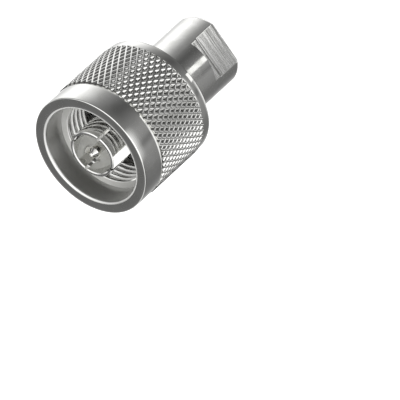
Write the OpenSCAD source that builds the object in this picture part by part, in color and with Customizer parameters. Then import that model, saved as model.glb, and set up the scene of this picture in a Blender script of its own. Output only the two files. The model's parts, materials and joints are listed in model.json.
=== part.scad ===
// Coaxial plug of the N type with a clamped cable entry, for a 5 mm cable.
// It stands on its cable end. The Z axis is the turning axis of every piece and
// leaves through the mouth of the coupling nut; the wrench flats face +Y and -Y.
// Sizes are in millimetres.

/* [Coupling nut] */
// Diameter of the plain collar and of the plain rear ring
nut_d = 21; // [20.2:0.1:26]
// Length of the coupling nut
nut_len = 17.2; // [16:0.1:24]
// Length of the plain collar at the mouth
collar_len = 4.7; // [3:0.1:6]
// Length of the plain ring at the back
rear_ring_len = 1.7; // [1:0.1:3]
// Chamfer on the two outer edges
nut_edge = 0.15; // [0.1:0.05:0.6]
// Outer diameter of the mating thread, five eighths of an inch
thread_d = 15.875; // [14:0.025:19.4]
// Pitch of the mating thread, twenty-four turns to the inch
thread_pitch = 1.058; // [0.75:0.001:1.5]
// How far the smooth mouth stands outside the mating thread
mouth_gap = 0.56; // [0.3:0.02:0.8]
// Depth of the smooth mouth in front of the thread
mouth_depth = 4.2; // [2:0.1:5]
// Chamfer at the inner edge of the mouth
mouth_edge = 0.35; // [0.1:0.05:0.5]

/* [Knurl] */
// Diamonds round the band
knurl_count = 60; // [36:1:66]
// Height of one diamond, which is fitted to a whole number of half rows
knurl_height = 1.84; // [1.5:0.02:3]
// Depth of the grooves
knurl_depth = 0.5; // [0.2:0.05:0.6]
// How far the points stand above the plain rings
knurl_rise = 0.2; // [0:0.02:0.3]
// Bevel of the plain rings where the knurl begins and ends
knurl_edge = 0.12; // [0.05:0.01:0.2]

/* [Body] */
// Diameter of the body and of the clamp nut
body_d = 12.4; // [12.2:0.1:15]
// Wall between the body's bore and its outside
body_wall = 1.2; // [1:0.05:1.3]
// Length of the body that shows behind the coupling nut
neck_len = 2.6; // [1.5:0.1:5]
// Width across the two flats on the neck
neck_flat = 11; // [10.6:0.1:12]
// Length of the flats on the neck
neck_flat_len = 1.8; // [1:0.1:2.4]
// Thickness of the body's front wall
front_wall = 1.5; // [1:0.1:2]
// Depth from the mouth to the face of the sealing gasket
seal_depth = 9.5; // [8.6:0.1:10]

/* [Clamp nut] */
// Length of the clamp nut outside the body
clamp_len = 11.6; // [8:0.1:18]
// Width across the wrench flats
flat_width = 10; // [9:0.1:11]
// Length of the wrench flats
flat_len = 6.1; // [4:0.1:7]
// Length of the shallower first cut next to the shoulder of the flats
first_cut_len = 1.2; // [0.6:0.1:2]
// How much shallower the first cut is
first_cut_rise = 0.1; // [0.05:0.01:0.2]
// Chamfer on the outer edge of the rear face
rear_edge = 0.3; // [0.1:0.05:0.6]
// Length of the run-off at the rear end of each flat
run_off_len = 0.55; // [0.3:0.05:1]
// Drop of the run-off
run_off_drop = 0.12; // [0.05:0.01:0.2]

/* [Retaining ring] */
// Thickness of the ring along the axis
snap_thick = 0.9; // [0.6:0.05:1.2]
// Distance from the back of the coupling nut to the ring
snap_back = 2.2; // [1.5:0.1:2.6]
// Depth of the groove in the body
snap_seat = 0.5; // [0.3:0.05:0.6]
// How far the ring stands out of the body
snap_stand = 0.55; // [0.3:0.05:0.7]
// Width of the split in the ring
snap_split = 1.6; // [0.8:0.1:3]

/* [Contacts] */
// Inner diameter of the outer contact
contact_bore = 7; // [5.8:0.1:7.2]
// Wall of the outer contact
contact_wall = 0.6; // [0.5:0.05:0.65]
// Distance from the mouth back to the rim of the outer contact
rim_back = 0.4; // [0:0.1:1]
// Slots round the outer contact
slot_count = 4; // [3:1:6]
// Width of a slot
slot_width = 0.5; // [0.3:0.05:0.8]
// Length of a slot
slot_len = 3.2; // [2:0.1:5]
// Angle from the X axis to the first slot
slot_turn = 28.5; // [0:0.5:90]
// Diameter of the pin
pin_d = 1.65; // [1.3:0.05:2]
// Length of the pin's tapered tip
tip_len = 1; // [0.6:0.1:1.5]
// Diameter of the pin at its rounded end
tip_d = 0.8; // [0.5:0.05:1.2]
// How far the pin stands in front of the outer contact
pin_lead = 0.3; // [0:0.1:0.4]
// Diameter of the pin's shank
shank_d = 3.04; // [2.4:0.02:3.6]
// Depth from the rim of the outer contact to the face of the insulator
insulator_depth = 5.3; // [4.6:0.1:6]

/* [Cable] */
// Diameter of the cable over its jacket
cable_d = 5; // [4.4:0.1:6.2]
// Diameter of the cable's inner insulation
core_d = 2.95; // [2.4:0.05:3.2]
// Diameter of the cable's inner wire
wire_d = 0.9; // [0.6:0.05:1.2]

/* [Hidden] */
$fn = 96;

// Clearances, each on the radius or on one side
run_gap = 0.08;       // the coupling nut on the body and on the retaining ring
seat_gap = 0.03;      // pieces that slide into one another
cable_gap = 0.15;     // round the cable's stripped end
entry_gap = 0.25;     // round the cable in the clamp nut and the washer
past = 1;             // how far a cutting tool reaches past the metal

// Small pieces of the cable clamp, along the axis
gasket_thick = 1.6;
contact_flange = 0.8;
braid_flange = 1.1;
cable_gasket_len = 1.8;
washer_thick = 0.5;
braid_cone_len = 1.5;
braid_cone_rise = 1.1;
braid_wall = 0.5;
collar_thick = 1;
front_insulator_len = 3.4;

// Steps on the radius
shank_step = 0.5;     // of the outer contact where it is pressed into the body
land_step = 0.3;      // of the outer contact under the sealing gasket
insulator_step = 0.15;
pin_collar_step = 0.5;
gasket_stand = 0.5;   // of the sealing gasket outside the body
relief_gap = 0.6;     // round the sealing gasket
fine_edge = 0.15;     // broken edges

// Heights above the rear face
nut_z = clamp_len + neck_len;
mouth_z = nut_z + nut_len;
gasket_z = mouth_z - seal_depth - gasket_thick;       // front face of the body
flange_top = gasket_z - front_wall;
stack_top = flange_top - contact_flange;              // back of the outer contact
braid_z = stack_top - braid_flange;
cable_gasket_z = braid_z - cable_gasket_len;
washer_z = cable_gasket_z - washer_thick;             // top of the clamp nut's spigot
rim_z = mouth_z - rim_back;
insulator_z = rim_z - insulator_depth;                // front face of the insulators
split_z = insulator_z - front_insulator_len;          // where the two insulators meet
tip_z = rim_z + pin_lead;
snap_z = nut_z + snap_back;
knurl_z = nut_z + rear_ring_len;
knurl_top = mouth_z - collar_len;
thread_z = gasket_z + gasket_thick + relief_gap;      // back end of the thread

// Diameters
body_bore = body_d - 2 * body_wall;
spigot_d = body_bore - 2 * run_gap;
contact_d = contact_bore + 2 * contact_wall;
contact_shank_d = contact_d + 2 * shank_step;
contact_land_d = contact_d + 2 * land_step;
insulator_d = contact_bore + 2 * insulator_step;
pin_collar_d = shank_d + 2 * pin_collar_step;
pot_d = wire_d + 1.2;
cable_bore = cable_d + 2 * entry_gap;
core_bore = core_d + cable_gap;
braid_tip_d = core_bore + 2 * braid_wall;
braid_base_d = braid_tip_d + 2 * braid_cone_rise;
snap_d = body_d + 2 * snap_stand;
snap_seat_d = body_d - 2 * snap_seat;
nut_bore = body_d + 2 * run_gap;
gasket_d = body_d + 2 * gasket_stand;
relief_d = max(thread_d + 2 * fine_edge, gasket_d + 2 * relief_gap);
thread_minor = thread_d - 1.0825 * thread_pitch;      // crests of an internal unified thread
mouth_d = thread_d + 2 * mouth_gap;

// A ring or a disc from z0 to z1 with a broken outer edge at each end
module turned(d, z0, z1, low_edge = 0, top_edge = 0) {
  rotate_extrude() polygon([
    [0, z0], [d / 2 - low_edge, z0], [d / 2, z0 + low_edge],
    [d / 2, z1 - top_edge], [d / 2 - top_edge, z1], [0, z1]
  ]);
}

module bored(d, z0, z1) {
  translate([0, 0, z0]) cylinder(d = d, h = z1 - z0);
}

// Two flats, one facing +Y and one facing -Y, cut by a profile of [distance from the axis, height]
module flats_cut(profile) {
  for (side = [0, 180])
    rotate([90, 0, 90 + side])
      linear_extrude(height = 4 * body_d, center = true)
        polygon(concat(profile, [[2 * body_d, profile[len(profile) - 1][1]], [2 * body_d, profile[0][1]]]));
}

// ---- Coupling nut ----

// The knurl is a band of four-sided points. Left-hand and right-hand grooves cross on a grid
// whose corners are low where grooves cross and high where a point stands, by turns.
knurl_rows = max(2, round(2 * (knurl_top - knurl_z) / knurl_height));
knurl_cols = 2 * knurl_count;
knurl_row_h = (knurl_top - knurl_z) / knurl_rows;
crest_r = nut_d / 2 + knurl_rise;
waist_r = crest_r - knurl_depth - 0.2;    // of the nut under the knurl
knurl_root_r = waist_r - 0.4;

function knurl_r(col, row) = (col + row) % 2 == 0 ? crest_r - knurl_depth : crest_r;
function knurl_id(col, row) = row * knurl_cols + col % knurl_cols;
function knurl_point(col, row) = let (turn = 360 * col / knurl_cols, r = knurl_r(col, row))
  [r * cos(turn), r * sin(turn), knurl_z + row * knurl_row_h];

// Each grid square is split from one groove crossing to the other
function knurl_square(col, row) = let (
    near_low = knurl_id(col, row), far_low = knurl_id(col + 1, row),
    near_top = knurl_id(col, row + 1), far_top = knurl_id(col + 1, row + 1))
  (col + row) % 2 == 0
    ? [[near_low, far_top, far_low], [near_low, near_top, far_top]]
    : [[near_low, near_top, far_low], [far_low, near_top, far_top]];

// A point of the band's hidden inner face, which lies inside the nut's metal
function knurl_root(col, z) = let (turn = 360 * col / knurl_cols)
  [knurl_root_r * cos(turn), knurl_root_r * sin(turn), z];

module knurl_band() {
  low_root = knurl_cols * (knurl_rows + 1);
  top_root = low_root + knurl_cols;
  cols = [0:knurl_cols - 1];
  polyhedron(
    points = concat(
      [for (row = [0:knurl_rows], col = cols) knurl_point(col, row)],
      [for (z = [knurl_z, knurl_top], col = cols) knurl_root(col, z)]
    ),
    faces = concat(
      [for (row = [0:knurl_rows - 1], col = cols, face = knurl_square(col, row)) face],
      [for (col = cols) let (next = (col + 1) % knurl_cols)
        [col, next, low_root + next, low_root + col]],
      [for (col = cols) let (next = (col + 1) % knurl_cols)
        [knurl_id(next, knurl_rows), knurl_id(col, knurl_rows), top_root + col, top_root + next]],
      [for (col = cols) let (next = (col + 1) % knurl_cols)
        [low_root + col, low_root + next, top_root + next, top_root + col]]
    )
  );
}

module nut_inside() {
  bored(nut_bore, nut_z - past, gasket_z);
  bored(snap_d + 2 * run_gap, snap_z - run_gap, snap_z + snap_thick + run_gap);
  bored(relief_d, gasket_z - relief_gap, thread_z);
  bored(thread_minor, thread_z - fine_edge, mouth_z - mouth_depth + fine_edge);
  bored(mouth_d, mouth_z - mouth_depth, mouth_z + past);
  translate([0, 0, mouth_z - mouth_edge])
    cylinder(d1 = mouth_d, d2 = mouth_d + 4 * mouth_edge, h = 2 * mouth_edge);
}

module coupling_nut() {
  color("silver") {
    difference() {
      rotate_extrude() polygon([
        [0, nut_z], [nut_d / 2 - nut_edge, nut_z], [nut_d / 2, nut_z + nut_edge],
        [nut_d / 2, knurl_z - knurl_edge], [nut_d / 2 - knurl_edge, knurl_z],
        [waist_r, knurl_z], [waist_r, knurl_top],
        [nut_d / 2 - knurl_edge, knurl_top], [nut_d / 2, knurl_top + knurl_edge],
        [nut_d / 2, mouth_z - nut_edge], [nut_d / 2 - nut_edge, mouth_z], [0, mouth_z]
      ]);
      nut_inside();
    }
    knurl_band();
  }
}

module snap_ring() {
  color("goldenrod")
    difference() {
      bored(snap_d, snap_z, snap_z + snap_thick);
      bored(snap_seat_d + 2 * seat_gap, snap_z - past, snap_z + snap_thick + past);
      translate([0, -snap_split / 2, snap_z - past])
        cube([snap_d, snap_split, snap_thick + 2 * past]);
    }
}

// ---- Body ----

module body() {
  color("silver")
    difference() {
      turned(body_d, clamp_len, gasket_z, fine_edge, fine_edge);
      bored(body_bore, clamp_len - past, flange_top);
      bored(contact_shank_d + 2 * seat_gap, flange_top - past, gasket_z + past);
      difference() {
        bored(2 * body_d, snap_z - seat_gap, snap_z + snap_thick + seat_gap);
        bored(snap_seat_d, snap_z - past, snap_z + snap_thick + past);
      }
      flats_cut([[neck_flat / 2, clamp_len - past], [neck_flat / 2, clamp_len + neck_flat_len]]);
    }
}

module sealing_gasket() {
  color("dimgray")
    difference() {
      turned(gasket_d, gasket_z, gasket_z + gasket_thick, fine_edge, fine_edge);
      bored(contact_land_d + 2 * seat_gap, gasket_z - past, mouth_z);
    }
}

// ---- Contacts and insulators ----

module contact_slots() {
  for (i = [0:slot_count - 1])
    rotate([0, 0, slot_turn + 360 * i / slot_count])
      translate([0, 0, rim_z - slot_len + slot_width / 2]) {
        translate([0, -slot_width / 2, 0]) cube([contact_d, slot_width, slot_len + past]);
        rotate([0, 90, 0]) cylinder(d = slot_width, h = contact_d);
      }
}

module outer_contact() {
  color("lightgray")
    difference() {
      union() {
        bored(body_bore - 2 * seat_gap, stack_top, flange_top);
        bored(contact_shank_d, flange_top, gasket_z);
        bored(contact_land_d, gasket_z, gasket_z + gasket_thick);
        turned(contact_d, gasket_z, rim_z, 0, fine_edge);
      }
      bored(insulator_d + 2 * seat_gap, stack_top - past, insulator_z);
      bored(contact_bore, insulator_z - past, rim_z + past);
      translate([0, 0, rim_z - fine_edge])
        cylinder(d1 = contact_bore, d2 = contact_bore + 4 * fine_edge, h = 2 * fine_edge);
      contact_slots();
    }
}

module front_insulator() {
  color("white")
    difference() {
      bored(insulator_d, split_z, insulator_z);
      bored(shank_d + 2 * seat_gap, split_z - past, insulator_z + past);
    }
}

module rear_insulator() {
  color("white")
    difference() {
      bored(insulator_d, stack_top, split_z);
      bored(pot_d + 2 * seat_gap, stack_top - past, split_z + past);
      bored(pin_collar_d + 2 * seat_gap, split_z - collar_thick, split_z + past);
    }
}

// Tapered pin, shank, collar held between the insulators, and the pot for the inner wire
module centre_contact() {
  pot_z = stack_top + fine_edge;
  round_r = tip_d / 2;
  color("gold")
    difference() {
      rotate_extrude() polygon(concat(
        [[0, pot_z], [pot_d / 2, pot_z], [pot_d / 2, split_z - collar_thick],
         [pin_collar_d / 2, split_z - collar_thick], [pin_collar_d / 2, split_z],
         [shank_d / 2, split_z], [shank_d / 2, insulator_z - fine_edge],
         [shank_d / 2 - fine_edge, insulator_z], [pin_d / 2, insulator_z],
         [pin_d / 2, tip_z - tip_len]],
        [for (a = [15:15:90]) [round_r * cos(a), tip_z - round_r + round_r * sin(a)]]
      ));
      bored(wire_d + cable_gap, pot_z - past, split_z - collar_thick);
    }
}

// ---- Cable clamp ----

// Flange that closes the body, and the cone that the braid is combed over
module braid_clamp() {
  color("silver")
    difference() {
      union() {
        bored(body_bore - 2 * seat_gap, braid_z, stack_top);
        translate([0, 0, braid_z - braid_cone_len])
          cylinder(d1 = braid_tip_d, d2 = braid_base_d, h = braid_cone_len);
      }
      bored(core_bore, washer_z, stack_top + past);
    }
}

module cable_gasket() {
  color("dimgray")
    difference() {
      bored(body_bore - 2 * seat_gap, cable_gasket_z, braid_z);
      bored(cable_d + 2 * seat_gap, cable_gasket_z - past, braid_z + past);
      translate([0, 0, braid_z - braid_cone_len])
        cylinder(d1 = braid_tip_d + 2 * cable_gap, d2 = braid_base_d + 2 * cable_gap, h = braid_cone_len);
    }
}

module slip_washer() {
  color("silver")
    difference() {
      bored(body_bore - 2 * seat_gap, washer_z, cable_gasket_z);
      bored(cable_bore, washer_z - past, cable_gasket_z + past);
    }
}

module clamp_nut() {
  first = flat_width / 2 + first_cut_rise;
  ramp = 3 * first_cut_rise;
  color("silver")
    difference() {
      union() {
        turned(body_d, 0, clamp_len, rear_edge, fine_edge);
        turned(spigot_d, clamp_len - past, washer_z, 0, fine_edge);
      }
      bored(cable_bore, -past, washer_z + past);
      translate([0, 0, -fine_edge])
        cylinder(d1 = cable_bore + 4 * rear_edge, d2 = cable_bore, h = 2 * rear_edge);
      flats_cut([
        [flat_width / 2 - run_off_drop, -past], [flat_width / 2 - run_off_drop, 0],
        [flat_width / 2, run_off_len], [flat_width / 2, flat_len - first_cut_len - ramp],
        [first, flat_len - first_cut_len], [first, flat_len]
      ]);
    }
}

coupling_nut();
snap_ring();
body();
outer_contact();
sealing_gasket();
front_insulator();
rear_insulator();
centre_contact();
braid_clamp();
cable_gasket();
slip_washer();
clamp_nut();
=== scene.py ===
import json
import math

import bpy
import numpy as np
from mathutils import Matrix, Vector


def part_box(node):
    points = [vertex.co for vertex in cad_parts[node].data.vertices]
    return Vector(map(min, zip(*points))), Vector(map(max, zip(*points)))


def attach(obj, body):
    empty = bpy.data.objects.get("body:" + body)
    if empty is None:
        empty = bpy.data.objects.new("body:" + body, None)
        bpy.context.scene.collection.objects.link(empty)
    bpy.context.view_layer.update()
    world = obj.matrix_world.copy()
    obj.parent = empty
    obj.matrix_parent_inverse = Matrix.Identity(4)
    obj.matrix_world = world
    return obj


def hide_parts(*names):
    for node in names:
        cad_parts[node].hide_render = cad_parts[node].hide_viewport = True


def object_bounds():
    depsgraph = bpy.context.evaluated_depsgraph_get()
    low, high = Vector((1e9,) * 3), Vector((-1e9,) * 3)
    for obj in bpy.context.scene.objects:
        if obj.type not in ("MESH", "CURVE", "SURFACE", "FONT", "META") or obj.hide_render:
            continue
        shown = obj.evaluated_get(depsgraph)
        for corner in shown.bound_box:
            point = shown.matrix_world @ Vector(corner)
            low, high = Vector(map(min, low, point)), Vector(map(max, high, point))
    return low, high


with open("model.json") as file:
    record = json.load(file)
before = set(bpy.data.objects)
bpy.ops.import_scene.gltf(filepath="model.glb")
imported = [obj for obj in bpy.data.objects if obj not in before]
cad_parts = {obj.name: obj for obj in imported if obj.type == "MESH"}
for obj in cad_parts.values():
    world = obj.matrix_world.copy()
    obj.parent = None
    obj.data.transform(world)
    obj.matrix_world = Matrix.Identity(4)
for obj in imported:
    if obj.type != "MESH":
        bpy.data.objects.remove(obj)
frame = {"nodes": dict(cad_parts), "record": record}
cadLow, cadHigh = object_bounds()
print("frame loaded:", len(frame["nodes"]), "nodes")

mm = 0.001
fullTurn = 2 * math.pi


# Lowest and highest corner of a solid, in millimetres
def boxOf(node):
    low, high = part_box(node)
    return [v / mm for v in low], [v / mm for v in high]


def mountRadius(name):
    mount = next(m for m in frame["record"]["mounts"] if m["name"] == name)
    return mount["dims"]["r_mm"]


nutLow, nutHigh = boxOf("coupling_nut")
mouthZ = nutHigh[2]
nutBackZ = nutLow[2]

camera = {
    "azimuth": 13.5,          # degrees round the plug, from the front flat
    "elevation": 38.5,        # degrees above the floor
    "roll": 133.0,            # degrees, so that the mouth points down to the left
    "distance": 1200.0,       # mm, long enough to keep the plug's sides parallel
    "span": 61.86,            # mm across the picture at the plug
    "mouthAt": (-16.98, 6.80),  # mm right of and above the middle of the picture
}


def addCamera(s):
    a, e, roll = (math.radians(s[k]) for k in ("azimuth", "elevation", "roll"))
    back = Vector((math.sin(a) * math.cos(e), -math.cos(a) * math.cos(e), math.sin(e)))
    level = Vector((math.cos(a), math.sin(a), 0))
    upright = back.cross(level)
    right = level * math.cos(roll) - upright * math.sin(roll)
    up = level * math.sin(roll) + upright * math.cos(roll)
    data = bpy.data.cameras.new("camera")
    data.sensor_width = 36
    data.lens = data.sensor_width * s["distance"] / s["span"]
    data.clip_start, data.clip_end = 0.05, 10
    obj = bpy.data.objects.new("camera", data)
    place = Vector((0, 0, mouthZ)) - right * s["mouthAt"][0] - up * s["mouthAt"][1] + back * s["distance"]
    turn = Matrix((right, up, back)).transposed().to_4x4()
    obj.matrix_world = Matrix.Translation(place * mm) @ turn
    bpy.context.scene.collection.objects.link(obj)
    bpy.context.scene.camera = obj


addCamera(camera)
print("camera placed")


# Triangles of a grid of points, row by row and closed round the columns. Each square is split from
# its first corner to the opposite one, or the other way where slant is False.
def gridTriangles(start, rows, cols, slant=True):
    r, c = np.meshgrid(np.arange(rows - 1), np.arange(cols), indexing="ij")
    near, far = start + r * cols, start + (r + 1) * cols
    c2 = (c + 1) % cols
    a, b, d, e = near + c, near + c2, far + c2, far + c
    slant = np.broadcast_to(slant, a.shape)
    first = np.stack([a, b, np.where(slant, d, e)], -1)
    second = np.stack([np.where(slant, a, b), d, e], -1)
    return np.concatenate([first.reshape(-1, 3), second.reshape(-1, 3)])


# Triangles between a ring of points and a ring of half as many
def halvingTriangles(wide, narrow, narrowCols):
    j = np.arange(narrowCols)
    j2 = (j + 1) % narrowCols
    w0, w1, w2 = wide + 2 * j, wide + 2 * j + 1, wide + 2 * j2
    n0, n1 = narrow + j, narrow + j2
    return np.concatenate([np.stack(t, -1) for t in ((n0, w0, w1), (n0, w1, n1), (n1, w1, w2))])


# Six times the volume inside a closed mesh: the sum of its triangles' triple products
def signedVolume(points, triangles):
    a, b, c = (points[triangles[:, i]] for i in range(3))
    return np.sum(a * np.cross(b, c))


def makePiece(name, points, triangles, body, material, sharp=35):
    if signedVolume(points, triangles) < 0:
        triangles = triangles[:, ::-1]
    mesh = bpy.data.meshes.new(name)
    mesh.vertices.add(len(points))
    mesh.vertices.foreach_set("co", (points * mm).astype(np.float32).ravel())
    mesh.loops.add(triangles.size)
    mesh.loops.foreach_set("vertex_index", triangles.astype(np.int32).ravel())
    mesh.polygons.add(len(triangles))
    mesh.polygons.foreach_set("loop_start", np.arange(0, triangles.size, 3, dtype=np.int32))
    mesh.polygons.foreach_set("loop_total", np.full(len(triangles), 3, dtype=np.int32))
    mesh.polygons.foreach_set("use_smooth", np.ones(len(triangles), dtype=bool))
    mesh.update(calc_edges=True)
    mesh.materials.append(material)
    mesh.set_sharp_from_angle(angle=math.radians(sharp))
    obj = bpy.data.objects.new(name, mesh)
    bpy.context.scene.collection.objects.link(obj)
    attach(obj, body)
    print("made", name, len(triangles), "triangles")
    return obj


# An open outline with each inner corner rounded. A corner is (r, z) or (r, z, radius); the arc's middle
# lies on the line that halves the corner, and its ends touch both sides.
def roundedPath(corners, radius, pieces=3):
    out = [np.array(corners[0][:2], float)]
    for before, here, after in zip(corners[:-2], corners[1:-1], corners[2:]):
        own = here[2] if len(here) > 2 else radius
        here = np.array(here[:2], float)
        a, b = np.array(before[:2]) - here, np.array(after[:2]) - here
        la, lb = np.linalg.norm(a), np.linalg.norm(b)
        a, b = a / la, b / lb
        half = math.acos(np.clip(a @ b, -1, 1)) / 2
        reach = min(own / math.tan(half), la / 2.01, lb / 2.01)
        r = reach * math.tan(half)
        middle = here + (a + b) / np.linalg.norm(a + b) * r / math.sin(half)
        for t in np.linspace(0, 1, pieces + 1):
            along = (here + a * reach) * (1 - t) + (here + b * reach) * t - middle
            out.append(middle + along / np.linalg.norm(along) * r)
    out.append(np.array(corners[-1][:2], float))
    return np.array(out)


# Radius and height of every point when an outline is carried round the axis
def carriedRound(outline, cols):
    return np.repeat(outline[:, :1], cols, 1), np.repeat(outline[:, 1:2], cols, 1)


# Points of rows of radius and height, with the columns spread evenly round the axis
def ringPoints(radius, height):
    turn = np.arange(radius.shape[1]) * fullTurn / radius.shape[1]
    return np.stack([radius * np.cos(turn), radius * np.sin(turn), height], -1).reshape(-1, 3)


def nodeOf(tree, kind, **values):
    node = tree.nodes.new(kind)
    for key, value in values.items():
        setattr(node, key, value)
    return node


def mathOf(tree, operation, *values):
    node = nodeOf(tree, "ShaderNodeMath", operation=operation)
    for socket, value in zip(node.inputs, values):
        if hasattr(value, "links"):
            tree.links.new(value, socket)
        else:
            socket.default_value = value
    return node.outputs[0]


# A value moved from one range to another, with soft ends, and kept inside it
def rangeOf(tree, value, low, high, toLow=0.0, toHigh=1.0):
    node = nodeOf(tree, "ShaderNodeMapRange", interpolation_type="SMOOTHSTEP")
    tree.links.new(value, node.inputs["Value"])
    for name, v in (("From Min", low), ("From Max", high), ("To Min", toLow), ("To Max", toHigh)):
        node.inputs[name].default_value = v
    return node.outputs[0]


def noiseOf(tree, vector, scale, detail=2.0, roughness=0.5):
    node = nodeOf(tree, "ShaderNodeTexNoise")
    tree.links.new(vector, node.inputs["Vector"])
    node.inputs["Scale"].default_value = scale
    node.inputs["Detail"].default_value = detail
    node.inputs["Roughness"].default_value = roughness
    return node.outputs[0]


def stretched(tree, vector, scale):
    node = nodeOf(tree, "ShaderNodeMapping")
    tree.links.new(vector, node.inputs["Vector"])
    node.inputs["Scale"].default_value = scale
    return node.outputs[0]


def mixOf(tree, share, a, b):
    node = nodeOf(tree, "ShaderNodeMix", data_type="RGBA")
    for socket, value in ((node.inputs["Factor"], share), (node.inputs["A"], a), (node.inputs["B"], b)):
        if hasattr(value, "links"):
            tree.links.new(value, socket)
        else:
            socket.default_value = value
    return node.outputs["Result"]


def blendOf(tree, share, a, b):
    node = nodeOf(tree, "ShaderNodeMix", data_type="FLOAT")
    for name, value in (("Factor", share), ("A", a), ("B", b)):
        tree.links.new(value, node.inputs[name])
    return node.outputs["Result"]


# The x, y and z of a place, and its distance from the turning axis
def placeParts(tree, place):
    parts = nodeOf(tree, "ShaderNodeSeparateXYZ")
    tree.links.new(place, parts.inputs[0])
    x, y, z = parts.outputs
    squares = (mathOf(tree, "MULTIPLY", v, v) for v in (x, y))
    return x, y, z, mathOf(tree, "SQRT", mathOf(tree, "ADD", *squares))


# 1 where every share given is 1
def allOf(tree, *shares):
    both = shares[0]
    for share in shares[1:]:
        both = mathOf(tree, "MULTIPLY", both, share)
    return both


def newGroup(name, inputs, outputs):
    tree = bpy.data.node_groups.new(name, "ShaderNodeTree")
    for label, kind, value in inputs:
        socket = tree.interface.new_socket(label, in_out="INPUT", socket_type=kind)
        if value is not None:
            socket.default_value = value
    for label in outputs:
        tree.interface.new_socket(label, in_out="OUTPUT", socket_type="NodeSocketFloat")
    return tree, tree.nodes.new("NodeGroupInput").outputs, tree.nodes.new("NodeGroupOutput").inputs


ringEffect = {
    "lean": 1.37,             # how much more closely the rings lie on ends than on sides
    "sway": 0.04,             # mm
    "swayScale": 60,
    "detail": 3,
}


# Fine rings that a lathe tool leaves: a noise along the height plus the distance from the axis,
# so that the rings run round both sides and ends, with a slow sway
def makeTurningRings(s):
    inputs = [("Place", "NodeSocketVector", None), ("Spacing", "NodeSocketFloat", 0.1)]
    tree, given, out = newGroup("turningRings", inputs, ["Height"])
    z, radius = placeParts(tree, given["Place"])[2:]
    along = mathOf(tree, "ADD", z, mathOf(tree, "MULTIPLY", radius, s["lean"]))
    sway = mathOf(tree, "MULTIPLY", noiseOf(tree, given["Place"], s["swayScale"], 1), s["sway"] * mm)
    count = mathOf(tree, "DIVIDE", mathOf(tree, "ADD", along, sway), mathOf(tree, "MULTIPLY", given["Spacing"], mm))
    noise = nodeOf(tree, "ShaderNodeTexNoise", noise_dimensions="1D")
    tree.links.new(count, noise.inputs["W"])
    noise.inputs["Scale"].default_value = 1
    noise.inputs["Detail"].default_value = s["detail"]
    tree.links.new(noise.outputs[0], out["Height"])
    return tree


handlingEffect = {
    "patchDetail": 4,
    "patchRoughness": 0.62,
    "patchEdge": (0.38, 0.68),       # noise between these is a patch's soft edge
    # The stretch, scale and edge of each family of scratches
    "scratches": (((0.12, 1, 0.5), 3200, (0.70, 0.78)), ((1, 0.4, 0.1), 2600, (0.71, 0.79))),
}


# Signs of handling: broad dull patches, and short fine scratches where one of two stretched noises is high
def makeHandling(s):
    inputs = [("Place", "NodeSocketVector", None), ("Patch size", "NodeSocketFloat", 3.0)]
    tree, given, out = newGroup("handling", inputs, ["Dullness", "Scratches"])
    scale = mathOf(tree, "DIVIDE", 1 / mm, given["Patch size"])
    broad = nodeOf(tree, "ShaderNodeTexNoise")
    tree.links.new(given["Place"], broad.inputs["Vector"])
    tree.links.new(scale, broad.inputs["Scale"])
    broad.inputs["Detail"].default_value = s["patchDetail"]
    broad.inputs["Roughness"].default_value = s["patchRoughness"]
    tree.links.new(rangeOf(tree, broad.outputs[0], *s["patchEdge"]), out["Dullness"])
    marks = [rangeOf(tree, noiseOf(tree, stretched(tree, given["Place"], stretch), scale, 1), *edge)
             for stretch, scale, edge in s["scratches"]]
    tree.links.new(mathOf(tree, "MAXIMUM", *marks), out["Scratches"])
    return tree


turningRings = makeTurningRings(ringEffect)
handling = makeHandling(handlingEffect)


def placeGroup(tree, group, place, **values):
    node = nodeOf(tree, "ShaderNodeGroup", node_tree=group)
    tree.links.new(place, node.inputs["Place"])
    for name, value in values.items():
        node.inputs[name.replace("_", " ")].default_value = value
    return node.outputs


def newMaterial(name):
    material = bpy.data.materials.new(name)
    material.use_nodes = True
    tree = material.node_tree
    place = nodeOf(tree, "ShaderNodeTexCoord").outputs["Object"]
    return material, tree, tree.nodes["Principled BSDF"], place


# Fine relief, its depth in mm, over corners that are rounded in the shading by an edge radius in mm
def addBump(tree, shader, height, depth, edge=0):
    bump = nodeOf(tree, "ShaderNodeBump")
    if edge:
        rounded = nodeOf(tree, "ShaderNodeBevel", samples=6)
        rounded.inputs["Radius"].default_value = edge * mm
        tree.links.new(rounded.outputs[0], bump.inputs["Normal"])
    tree.links.new(height, bump.inputs["Height"])
    bump.inputs["Strength"].default_value = 1
    bump.inputs["Distance"].default_value = depth * mm
    tree.links.new(bump.outputs[0], shader.inputs["Normal"])


# Bright plating over turned metal, with dull patches, scratches and the rings of the tool. Spacing, depth,
# patch and edge are in mm; an edge is the radius with which sharp corners catch the light.
platings = {
    "nutPlating": {"colour": (0.72, 0.72, 0.705, 1), "dull": (0.66, 0.66, 0.64, 1), "roughness": (0.05, 0.10),
                   "ringSpacing": 0.16, "ringDepth": 0.0012, "patch": 3.2},
    "bodyPlating": {"colour": (0.72, 0.72, 0.705, 1), "dull": (0.66, 0.66, 0.64, 1), "roughness": (0.10, 0.19),
                    "ringSpacing": 0.12, "ringDepth": 0.0010, "patch": 2.6, "edge": 0.12},
    "contactPlating": {"colour": (0.75, 0.75, 0.735, 1), "dull": (0.68, 0.68, 0.665, 1), "roughness": (0.04, 0.10),
                       "ringSpacing": 0.09, "ringDepth": 0.0008, "patch": 1.8, "edge": 0.05},
    "pinPlating": {"colour": (0.76, 0.755, 0.735, 1), "dull": (0.69, 0.685, 0.66, 1), "roughness": (0.05, 0.11),
                   "ringSpacing": 0.07, "ringDepth": 0.0006, "patch": 1.2},
}

scratchDepth = 0.6            # times the depth of the turning rings


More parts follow.
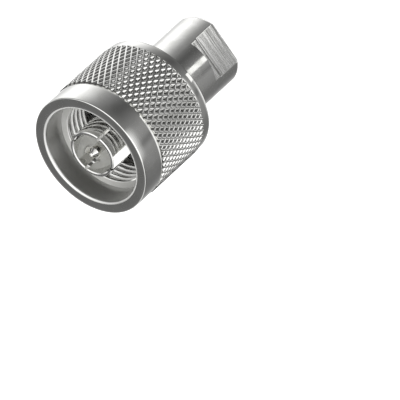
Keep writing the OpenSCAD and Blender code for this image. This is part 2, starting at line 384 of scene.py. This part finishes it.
# A finish of its own, such as the knurl's or the milling's, is a function given as `unturned`. It gets the
# marks of handling and the look so far, and gives back the tone, roughness and height to use instead.
def makePlating(name, unturned=None):
    s = platings[name]
    material, tree, shader, place = newMaterial(name)
    marks = placeGroup(tree, handling, place, Patch_size=s["patch"])
    rings = placeGroup(tree, turningRings, place, Spacing=s["ringSpacing"])["Height"]
    tone = mixOf(tree, marks["Dullness"], s["colour"], s["dull"])
    rough = rangeOf(tree, marks["Dullness"], 0, 1, *s["roughness"])
    height = mathOf(tree, "MULTIPLY_ADD", marks["Scratches"], -scratchDepth, rings)
    if unturned:
        tone, rough, height = unturned(tree, place, marks, tone, rough, height)
    tree.links.new(tone, shader.inputs["Base Color"])
    tree.links.new(rough, shader.inputs["Roughness"])
    shader.inputs["Metallic"].default_value = 1
    addBump(tree, shader, height, s["ringDepth"], s.get("edge", 0))
    return material


# Lengths in mm
knurlFinishAndShade = {
    "heights": (15.9, 26.7),         # of the band
    "inside": 9.8,                   # radius under which the metal isn't knurled
    "pit": (10.34, 10.56),           # radii between which the painted shade of a pit fades out
    # Painted shade: the dark tone laid into the knurl's pits
    "pitTone": (0.14, 0.14, 0.138, 1),
    "pitLeast": 0.65,                # share of that painted shade in pits outside the dull patches
    "grain": 9000,
    "bore": 8.9,                     # radius under which the metal is the satin of a bore
    "boreRoughness": 0.34,
    "mouth": 8.6,                    # radius and height of the wide mouth, whose metal is painted darker as shade
    "mouthFloor": 27.2,
    # Painted shade: the darker tone laid over the mouth's metal
    "mouthTone": (0.46, 0.46, 0.45, 1),
}


# The knurl is pressed, so it has no rings; its pits are painted darker as shade, more so in the dull patches, and
# its ribs keep the plain tone. Inside, the bore is satin and calm, and the wide mouth is painted darker as shade.
def knurled(tree, place, marks, tone, rough, height):
    s = knurlFinishAndShade
    low, high = s["heights"]
    z, radius = placeParts(tree, place)[2:]
    within = allOf(tree, mathOf(tree, "GREATER_THAN", z, low * mm), mathOf(tree, "LESS_THAN", z, high * mm),
                   mathOf(tree, "GREATER_THAN", radius, s["inside"] * mm))
    # Painted shade in the pits: darker towards a pit's floor, and more so in the dull patches
    pit = rangeOf(tree, radius, s["pit"][0] * mm, s["pit"][1] * mm, 1, 0)
    pitShadeShare = mathOf(tree, "MULTIPLY_ADD", marks["Dullness"], 1 - s["pitLeast"], s["pitLeast"])
    tone = mixOf(tree, allOf(tree, pit, within, pitShadeShare), tone, s["pitTone"])
    height = blendOf(tree, within, height, noiseOf(tree, place, s["grain"], 2))
    # Painted shade: the wide mouth's metal is darkened in colour
    mouth = allOf(tree, mathOf(tree, "LESS_THAN", radius, s["mouth"] * mm),
                  mathOf(tree, "GREATER_THAN", z, s["mouthFloor"] * mm))
    bore = mathOf(tree, "LESS_THAN", radius, s["bore"] * mm)
    satin = mathOf(tree, "MAXIMUM", rough, mathOf(tree, "MULTIPLY", bore, s["boreRoughness"]))
    calm = mathOf(tree, "MULTIPLY", height, mathOf(tree, "SUBTRACT", 1, bore))
    return mixOf(tree, mouth, tone, s["mouthTone"]), satin, calm


# Lengths in mm
milling = {
    "inside": 6.12,                  # radius that holds the flats
    "away": 4.8,                     # least distance from the middle plane
    "top": 6.2,                      # height where the flats end
    "tones": ((0.86, 0.86, 0.85, 1), (0.30, 0.30, 0.29, 1)),
    "roughness": (0.16, 0.30),
    "squeeze": (0.03, 1, 1),         # of the noise, so that it runs along the cut
    "fine": (9000, 2, 0.7, 0.45),    # scale, detail, roughness and share of each noise
    "coarse": (2400, 3, 0.6, 0.55),
    "contrast": (0.40, 0.60),        # noise between these is a streak's edge
    "depth": 4,                      # times the depth of the turning rings
}


# The flats are milled: fine streaks run along the cut, some bright and some dull
def milled(tree, place, marks, tone, rough, height):
    s = milling
    y, z, radius = placeParts(tree, place)[1:]
    flat = allOf(tree, mathOf(tree, "LESS_THAN", radius, s["inside"] * mm),
                 mathOf(tree, "GREATER_THAN", mathOf(tree, "ABSOLUTE", y), s["away"] * mm),
                 mathOf(tree, "LESS_THAN", z, s["top"] * mm))
    along = stretched(tree, place, s["squeeze"])
    noises = [mathOf(tree, "MULTIPLY", noiseOf(tree, along, scale, detail, roughness), share)
              for scale, detail, roughness, share in (s["fine"], s["coarse"])]
    streaks = rangeOf(tree, mathOf(tree, "ADD", *noises), *s["contrast"])
    tone = mixOf(tree, flat, tone, mixOf(tree, streaks, *s["tones"]))
    rough = blendOf(tree, flat, rough, rangeOf(tree, streaks, 0, 1, *s["roughness"]))
    return tone, rough, blendOf(tree, flat, height, mathOf(tree, "MULTIPLY", streaks, s["depth"]))


nutPlating = makePlating("nutPlating", knurled)
bodyPlating = makePlating("bodyPlating", milled)
contactPlating = makePlating("contactPlating")
pinPlating = makePlating("pinPlating")

# Waxy white plastic and black rubber; patch and depth in mm
softer = {
    "insulatorWhite": {"tones": ((0.86, 0.86, 0.84, 1), (0.78, 0.78, 0.755, 1)), "roughness": (0.38, 0.55),
                       "patch": 1.6, "grain": 1500, "depth": 0.004},
    "gasketRubber": {"tones": ((0.085, 0.085, 0.088, 1), (0.11, 0.11, 0.11, 1)), "roughness": (0.38, 0.55),
                     "patch": 1.2, "grain": 6000, "depth": 0.006},
}


# Two tones in patches, and a fine grain
def makeSoft(name):
    s = softer[name]
    material, tree, shader, place = newMaterial(name)
    marks = placeGroup(tree, handling, place, Patch_size=s["patch"])
    tree.links.new(mixOf(tree, marks["Dullness"], *s["tones"]), shader.inputs["Base Color"])
    tree.links.new(rangeOf(tree, marks["Dullness"], 0, 1, *s["roughness"]), shader.inputs["Roughness"])
    addBump(tree, shader, noiseOf(tree, place, s["grain"], 3), s["depth"])
    return material


insulatorWhite = makeSoft("insulatorWhite")
gasketRubber = makeSoft("gasketRubber")

bronze = {
    "colour": (0.60, 0.47, 0.28, 1),
    "dark": (0.42, 0.31, 0.18, 1),
    "roughness": (0.24, 0.42),
    "ringSpacing": 0.12,
    "depth": 0.002,
    "patch": 1.5,
}


# Spring bronze, browned in patches and drawn lengthwise
def makeBronze(s):
    material, tree, shader, place = newMaterial("springBronze")
    marks = placeGroup(tree, handling, place, Patch_size=s["patch"])
    tree.links.new(mixOf(tree, marks["Dullness"], s["colour"], s["dark"]), shader.inputs["Base Color"])
    tree.links.new(rangeOf(tree, marks["Dullness"], 0, 1, *s["roughness"]), shader.inputs["Roughness"])
    shader.inputs["Metallic"].default_value = 1
    addBump(tree, shader, placeGroup(tree, turningRings, place, Spacing=s["ringSpacing"])["Height"], s["depth"])
    return material


springBronze = makeBronze(bronze)
print("materials made")


# Lengths in mm
nut = {
    "ringRadius": 10.5,
    "edge": 0.15,             # rounding of the outer edges
    "innerEdge": 0.04,        # rounding of the edges inside
    "rearRingLength": 1.7,
    "collarLength": 4.7,
    "mouthRadius": 8.4975,
    "mouthDepth": 4.2,
    "mouthEdge": 0.42,        # rounding of the mouth's inner edge
    "threadLength": 4.7,
    "threadPitch": 1.058,
    "threadDepth": 0.57,
    "threadSteps": 10,        # mesh rows for each turn of thread
    "threadCrest": 0.25,      # share of the pitch that the crest takes
    "threadFlanks": 0.62,     # share of the pitch that both flanks take
    "threadStart": 0.12,      # from the mouth's floor to the first row of thread
    "threadChamfer": 0.1,
    "reliefRadius": 8.0875,
    "reliefLength": 2.8,
    "reliefFace": 0.1,        # width of the face that ends the thread
    "boreRadius": 6.28,
    "boreChamfer": 0.12,
    "diamonds": 60,           # round the band
    "halfRows": 12,           # half diamonds along the band
    "stepsPerHalf": 6,        # mesh steps in half a diamond
    "knurlDepth": 0.38,
    "knurlRise": 0.14,
    "knurlStep": 0.1,         # rounding, and depth under the pits, where the rear ring meets the knurl
    "collarEase": (2.6, 12),  # radius of the collar's gentle end, and the degrees it turns through
    "collarRound": 0.5,       # radius of the collar's edge beside the knurl
    "collarTurn": 45,         # degrees that both turn through
    "outerSeam": 0.6,         # width of each end face that belongs to the outer grid
    "mouthSeam": 0.9,         # width of the front face that belongs to the inner grid
    "rearSeam": 1.5,          # from the ring's edge to the inner grid on the rear face
    "knurlShape": (1, 1, 0.88, 0.65, 0.42, 0.18, 0),  # height from a rib's middle to a pit's
}


# A triangle wave: 0 at whole numbers, 1 half-way between
def triangle(x):
    return 1 - np.abs(2 * (x - np.floor(x)) - 1)


# Height of one family of slanting ribs, from a count of mesh steps across them
def ribHeight(count, s):
    across = triangle(count / (2 * s["stepsPerHalf"]) + 0.5)
    return np.interp(across, np.linspace(0, 1, len(s["knurlShape"])), s["knurlShape"])


# Depth of the thread's groove, 0 on the crest and 1 at the root: a trapezium that climbs one pitch
# a turn and runs out over half a pitch at both ends
def threadGroove(turn, z, low, high, s):
    wave = triangle(z / s["threadPitch"] - turn / fullTurn)
    groove = np.clip((wave - s["threadCrest"]) / s["threadFlanks"], 0, 1)
    return groove * np.clip(np.minimum(z - low, high - z) / (0.5 * s["threadPitch"]), 0, 1)


# The nut is two grids joined on its end faces. The outer one has a column for every mesh step of the
# knurl, whose height is the higher of two families of slanting ribs, so that four-sided pits are left
# between them; the inner one has half as many columns and carries the thread.
def buildCouplingNut(s):
    outerCols = s["diamonds"] * 2 * s["stepsPerHalf"]
    innerCols = outerCols // 2
    knurlZ, knurlTop = nutBackZ + s["rearRingLength"], mouthZ - s["collarLength"]
    floorZ = mouthZ - s["mouthDepth"]
    threadZ = floorZ - s["threadLength"]
    reliefZ = threadZ - s["reliefLength"]
    ring, e = s["ringRadius"], s["edge"]
    crest = ring + s["knurlRise"]
    root = crest - s["knurlDepth"]
    minor = mountRadius("coupling_thread")
    mouth = s["mouthRadius"]

    seam, step = s["outerSeam"], s["knurlStep"]
    rear = roundedPath([(ring - seam, nutBackZ), (ring, nutBackZ), (ring, knurlZ, step), (root - step, knurlZ)], e)
    wide, gentle = s["collarEase"]
    ease, bend = np.radians(np.linspace(gentle, 0, 4)), np.radians(np.linspace(s["collarTurn"], gentle, 4))
    small = s["collarRound"]
    bendZ = knurlTop + small * (np.sin(bend[0]) - np.sin(ease[0])) + wide * np.sin(ease[0])
    eased = np.stack([ring - wide * (1 - np.cos(ease)), bendZ - wide * np.sin(ease)], -1)
    tight = eased[0] - small * np.stack([np.cos(ease[0]) - np.cos(bend), np.sin(bend) - np.sin(ease[0])], -1)
    bent = np.concatenate([tight[:-1], eased])
    collar = np.concatenate([bent, roundedPath([(ring, bendZ), (ring, mouthZ), (ring - seam, mouthZ)], e)[1:]])
    steps = s["halfRows"] * s["stepsPerHalf"]
    row, col = np.arange(steps + 1)[:, None], np.arange(outerCols)[None, :]
    knurlHeights = knurlZ + (knurlTop - knurlZ) * row / steps
    height = np.maximum(ribHeight(col + row, s), ribHeight(col - row, s))
    bandR, bandZ = root + (crest - root) * height, np.repeat(knurlHeights, outerCols, 1)
    rearR, rearZ = carriedRound(rear, outerCols)
    collarR, collarZ = carriedRound(collar, outerCols)
    outer = ringPoints(np.concatenate([rearR, bandR, collarR]), np.concatenate([rearZ, bandZ, collarZ]))
    outerRows = len(rearR) + len(bandR) + len(collarR)

    slant = np.ones((outerRows - 1, outerCols), dtype=bool)
    row, col = np.arange(steps)[:, None], np.arange(outerCols)[None, :]
    per = 2 * s["stepsPerHalf"]
    slant[len(rearR):len(rearR) + steps] = triangle((col - row) / per + 0.5) < triangle((col + row + 1) / per + 0.5)

    chamfer = s["threadChamfer"]
    front = roundedPath([(mouth + s["mouthSeam"], mouthZ), (mouth, mouthZ, s["mouthEdge"]), (mouth, floorZ),
                         (minor + chamfer, floorZ), (minor, floorZ - chamfer)], s["innerEdge"])
    count = int(round(s["threadLength"] / s["threadPitch"] * s["threadSteps"]))
    z = np.linspace(floorZ - s["threadStart"], threadZ, count)[:, None]
    turn = np.arange(innerCols)[None, :] * fullTurn / innerCols
    threadR = minor + s["threadDepth"] * threadGroove(turn, z, threadZ, floorZ, s)
    relief, bore, chamfer = s["reliefRadius"], s["boreRadius"], s["boreChamfer"]
    back = roundedPath([(relief - s["reliefFace"], threadZ), (relief, threadZ), (relief, reliefZ), (bore, reliefZ),
                        (bore, nutBackZ + chamfer), (bore + chamfer, nutBackZ),
                        (ring - s["rearSeam"], nutBackZ)], s["innerEdge"])
    frontR, frontZ = carriedRound(front, innerCols)
    backR, backZ = carriedRound(back, innerCols)
    inner = ringPoints(np.concatenate([frontR, threadR, backR]),
                       np.concatenate([frontZ, np.repeat(z, innerCols, 1), backZ]))
    innerRows = len(frontR) + len(threadR) + len(backR)

    start = len(outer)
    triangles = np.concatenate([
        gridTriangles(0, outerRows, outerCols, slant),
        halvingTriangles((outerRows - 1) * outerCols, start, innerCols)[:, ::-1],
        gridTriangles(start, innerRows, innerCols),
        halvingTriangles(0, start + (innerRows - 1) * innerCols, innerCols),
    ])
    points = np.concatenate([outer, inner])
    obj = makePiece("couplingNut", points, triangles, "nut", nutPlating, sharp=38)
    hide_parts("coupling_nut")


buildCouplingNut(nut)

finishes = {
    "snap_ring": springBronze,
    "body": bodyPlating,
    "outer_contact": contactPlating,
    "sealing_gasket": gasketRubber,
    "front_insulator": insulatorWhite,
    "rear_insulator": insulatorWhite,
    "centre_contact": pinPlating,
    "braid_clamp": bodyPlating,
    "cable_gasket": gasketRubber,
    "slip_washer": bodyPlating,
    "clamp_nut": bodyPlating,
    "coupling_nut": nutPlating,
}

for name, material in finishes.items():
    slots = frame["nodes"][name].data.materials
    slots.clear()
    slots.append(material)
print("finishes given")

# Brightness of the studio seen in the metal. Each row holds its lower and upper height in degrees and a list
# of (degrees round, brightness); between two rows it blends. Degrees round count from the camera's left
# before its roll.
studio = {
    "rows": [
        (-90, -69, [(0, 0.1), (180, 0.1)]),
        (-61, -51, [(0, 1.4), (36, 1.4), (60, 1.1), (74, 0.12), (138, 0.12), (152, 0.7), (188, 0.7), (204, 0.12),
                    (300, 0.12), (330, 0.3), (341, 1.3)]),
        (-44, -33, [(0, 0.26), (30, 0.36), (38, 0.34), (46, 0.17), (54, 0.34), (64, 0.38), (74, 0.36),
                    (90, 0.207), (104, 0.146), (112, 0.112), (122, 0.129), (135, 0.232), (150, 0.37),
                    (165, 0.715), (182, 1.3), (190, 1.5), (214, 1.5), (224, 1.2), (236, 0.82), (248, 0.8),
                    (258, 1.12), (270, 1.12), (278, 0.5), (286, 0.6), (294, 0.44), (302, 0.34), (310, 0.27),
                    (326, 0.19), (345, 0.215)]),
        (-18, -14, [(0, 0.08), (20, 0.08), (28, 1.4), (40, 2.0), (64, 2.0), (76, 1.4), (84, 0.08), (340, 0.08)]),
        (-9, 16, [(0, 0.08), (20, 0.08), (28, 1.4), (40, 2.0), (64, 2.0), (76, 1.4), (84, 0.08), (205, 0.08),
                  (222, 1.3), (318, 1.3), (340, 0.08)]),
        (34, 46, [(0, 1.3), (60, 1.5), (150, 1.5), (200, 1.2), (235, 0.35), (255, 0.16), (282, 0.16), (300, 0.6),
                  (320, 1.2)]),
        (70, 90, [(0, 2.0), (180, 2.0), (270, 0.8)]),
    ],
    "turn": 193.5,            # degrees from the X axis to where the count starts
    "diffuse": 1.3,           # brightness for all that isn't metal
    "peak": 2.0,              # the brightness that the ramps call 1
}

stage = {
    "floorSize": 6.0,         # metres
    "floorDrop": 0.00002,     # metres under the plug, so that the two never share a plane
    "floorColour": (0.97, 0.97, 0.965, 1),
    "floorGlow": 0.45,        # lifts the shadow, as a lit table does
}


def addRamp(tree, stops, peak, value):
    ramp = nodeOf(tree, "ShaderNodeValToRGB")
    ramp.color_ramp.interpolation = "B_SPLINE"
    elements = ramp.color_ramp.elements
    while len(elements) > 1:
        elements.remove(elements[-1])
    elements[0].position = 0
    for i, (degrees, brightness) in enumerate(stops + [(360, stops[0][1])]):
        element = elements[0] if i == 0 else elements.new(degrees / 360)
        element.color = (brightness / peak, brightness / peak, brightness / peak, 1)
    tree.links.new(value, ramp.inputs["Fac"])
    return ramp.outputs["Color"]


def addStudio(s):
    world = bpy.data.worlds.new("studio")
    bpy.context.scene.world = world
    world.use_nodes = True
    world.cycles.sampling_method = "NONE"
    tree = world.node_tree
    link = tree.links.new
    background = tree.nodes["Background"]
    parts = nodeOf(tree, "ShaderNodeSeparateXYZ")
    link(nodeOf(tree, "ShaderNodeTexCoord").outputs["Generated"], parts.inputs[0])
    angle = mathOf(tree, "ARCTAN2", parts.outputs["Y"], parts.outputs["X"])
    turned = mathOf(tree, "FRACT", mathOf(tree, "MULTIPLY_ADD", angle, 1 / fullTurn, 1 - s["turn"] / 360))
    seen, below = None, None
    for low, high, stops in s["rows"]:
        row, sine = addRamp(tree, stops, s["peak"], turned), math.sin(math.radians(low))
        seen = row if seen is None else mixOf(tree, rangeOf(tree, parts.outputs["Z"], below, sine), seen, row)
        below = math.sin(math.radians(high))
    path = nodeOf(tree, "ShaderNodeLightPath")
    plain = s["diffuse"] / s["peak"]
    link(mixOf(tree, path.outputs["Is Glossy Ray"], (plain, plain, plain, 1), seen), background.inputs["Color"])
    background.inputs["Strength"].default_value = s["peak"]


# Small light cards, seen only in the metal: a long narrow one close to the plug, and one inside the
# mouth that lights the side of the contact and the thread behind it
cards = {
    "stripCard": {
        "round": 75,          # degrees round, counted as in the studio's rows
        "away": 53.0,         # mm from the axis
        "heights": (-60.0, -22.6),
        "width": 14.0,
        "brightness": 1.4,
    },
    "mouthCard": {
        "round": 8,
        "away": 6.4,
        "heights": (22.9, 28.6),
        "width": 6.4,
        "brightness": 1.5,
    },
}


def addCard(name, s, turn):
    angle = math.radians(turn + s["round"])
    outward = np.array([math.cos(angle), math.sin(angle)])
    across = np.array([-outward[1], outward[0]])
    middle, half = outward * s["away"], across * s["width"] / 2
    low, high = s["heights"]
    points = [(*(middle + side * half), z) for side, z in ((-1, low), (1, low), (1, high), (-1, high))]
    mesh = bpy.data.meshes.new(name)
    mesh.from_pydata([tuple(v * mm for v in p) for p in points], [], [(0, 1, 2, 3)])
    material = bpy.data.materials.new(name + "Light")
    material.use_nodes = True
    shader = material.node_tree.nodes["Principled BSDF"]
    shader.inputs["Base Color"].default_value = (0, 0, 0, 1)
    shader.inputs["Emission Color"].default_value = (1, 1, 0.99, 1)
    shader.inputs["Emission Strength"].default_value = s["brightness"]
    material.cycles.emission_sampling = "NONE"
    mesh.materials.append(material)
    obj = bpy.data.objects.new(name, mesh)
    bpy.context.scene.collection.objects.link(obj)
    obj.visible_camera = obj.visible_diffuse = obj.visible_shadow = False


def addFloor(s):
    half = s["floorSize"] / 2
    mesh = bpy.data.meshes.new("floor")
    z = cadLow[2] - s["floorDrop"]
    mesh.from_pydata([(-half, -half, z), (half, -half, z), (half, half, z), (-half, half, z)], [], [(0, 1, 2, 3)])
    obj = bpy.data.objects.new("floor", mesh)
    bpy.context.scene.collection.objects.link(obj)
    material = bpy.data.materials.new("floorPaper")
    material.use_nodes = True
    shader = material.node_tree.nodes["Principled BSDF"]
    shader.inputs["Base Color"].default_value = s["floorColour"]
    shader.inputs["Roughness"].default_value = 0.9
    shader.inputs["Specular IOR Level"].default_value = 0
    shader.inputs["Emission Color"].default_value = s["floorColour"]
    shader.inputs["Emission Strength"].default_value = s["floorGlow"]
    mesh.materials.append(material)
    obj.visible_glossy = False


addStudio(studio)
for name, values in cards.items():
    addCard(name, values, studio["turn"])
addFloor(stage)
bpy.context.scene.view_settings.view_transform = "Standard"
print("stage and light made")
